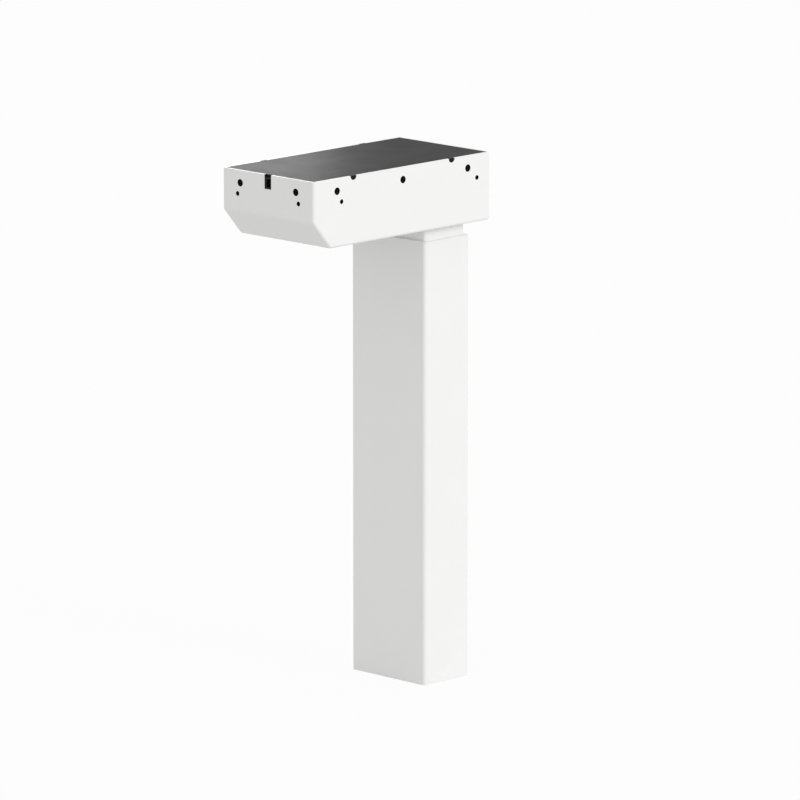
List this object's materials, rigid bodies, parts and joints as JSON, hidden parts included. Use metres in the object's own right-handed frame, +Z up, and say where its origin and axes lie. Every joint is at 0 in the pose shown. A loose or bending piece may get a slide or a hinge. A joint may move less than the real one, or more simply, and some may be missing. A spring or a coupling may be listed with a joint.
{
  "type": "electric lifting column",
  "caption": "Two-stage motorised lifting column: rectangular steel tubes telescope on a spindle under a low motor housing with side mounting holes.",
  "frame": {"origin": "centre of the column's foot, on the floor", "axes": "+Z up along the column's travel; +X from the motor end of the housing to its short end; +Y completes a right-handed frame"},
  "size_m": [0.261, 0.1324, 0.56],
  "materials": {
    "white_powder_coat": "fine-textured matt white powder coat on sheet steel",
    "white_plastic": "matt moulded acetal",
    "black_plastic": "fine-grained moulded black plastic",
    "ivory_plastic": "natural moulded acetal",
    "zinc_steel": "bright zinc plate",
    "dark_steel": "blackened steel",
    "cast_aluminium": "as-cast, shot-blasted",
    "bearing_steel": "ground and oiled",
    "sintered_bronze": "porous sintered bronze",
    "gold_plate": "gold-plated pins",
    "ferrite": "dull ferrite",
    "carbon": "pressed carbon",
    "core_steel": "stacked laminations",
    "enamelled_copper": "enamelled copper wire",
    "copper": "turned copper bars",
    "circuit_board": "green solder mask",
    "black_rubber": "matt moulded rubber",
    "lead_insulation": "smooth wire insulation"
  },
  "bodies": {
    "base": {"outer_tube": "white_powder_coat", "base_plate": "zinc_steel", "end_buffers": "black_rubber", "upper_guide": "white_plastic", "nut_tube": "zinc_steel", "nut_tube_foot": "dark_steel", "nut_tube_screw": "dark_steel", "nut_collar": "zinc_steel", "spindle_nut": "ivory_plastic", "nut_screws": "dark_steel"},
    "head": {"housing_shell": "white_powder_coat", "weld_nuts": "dark_steel", "top_lid": "black_plastic", "head_plate": "zinc_steel", "head_bolts": "zinc_steel", "inner_tube": "white_powder_coat", "lower_guide": "ivory_plastic", "gearbox_lower": "cast_aluminium", "gearbox_upper": "cast_aluminium", "gearbox_bolts": "dark_steel", "lower_bearing_outer": "bearing_steel", "lower_bearing_balls": "bearing_steel", "upper_bearing_outer": "bearing_steel", "upper_bearing_balls": "bearing_steel", "front_bush": "sintered_bronze", "worm_end_bush": "sintered_bronze", "rear_bush": "sintered_bronze", "motor_can": "zinc_steel", "motor_magnets": "ferrite", "motor_end_cap": "black_plastic", "through_bolts": "zinc_steel", "carbon_brushes": "carbon", "brush_springs": "bearing_steel", "sensor_board": "circuit_board", "hall_sensors": "black_plastic", "board_screws": "zinc_steel", "motor_cradle": "black_rubber", "power_leads": "lead_insulation", "signal_lead": "lead_insulation", "cable_socket": "black_plastic", "socket_pins": "gold_plate"},
    "rotor": {"motor_shaft": "bearing_steel", "worm": "bearing_steel", "armature_core": "core_steel", "armature_windings": "enamelled_copper", "commutator": "copper", "sensor_magnet": "ferrite"},
    "spindle": {"spindle": "bearing_steel", "wheel_hub": "dark_steel", "wheel_key": "bearing_steel", "worm_wheel": "ivory_plastic", "lower_bearing_inner": "bearing_steel", "upper_bearing_inner": "bearing_steel", "shaft_circlip": "dark_steel", "end_stop_washer": "zinc_steel", "end_stop_screw": "dark_steel"}
  },
  "joints": [
    {"name": "lift", "type": "slide", "parent": "base", "child": "head", "axis": [0, 0, 1], "range_m": [0, 0.35]},
    {"name": "rotor_spin", "type": "hinge", "parent": "head", "child": "rotor", "pos_m": [0, -0.024, 0.5235], "axis": [-1, 0, 0], "range_deg": [0, 176400]},
    {"name": "spindle_spin", "type": "hinge", "parent": "head", "child": "spindle", "pos_m": [0, 0, 0.5], "axis": [0, 0, 1], "range_deg": [0, 12600]}
  ],
  "couplings": [
    {"joint": "rotor_spin", "follows": "lift", "rad_per_m": 8796.5},
    {"joint": "spindle_spin", "follows": "lift", "rad_per_m": 628.32}
  ]
}
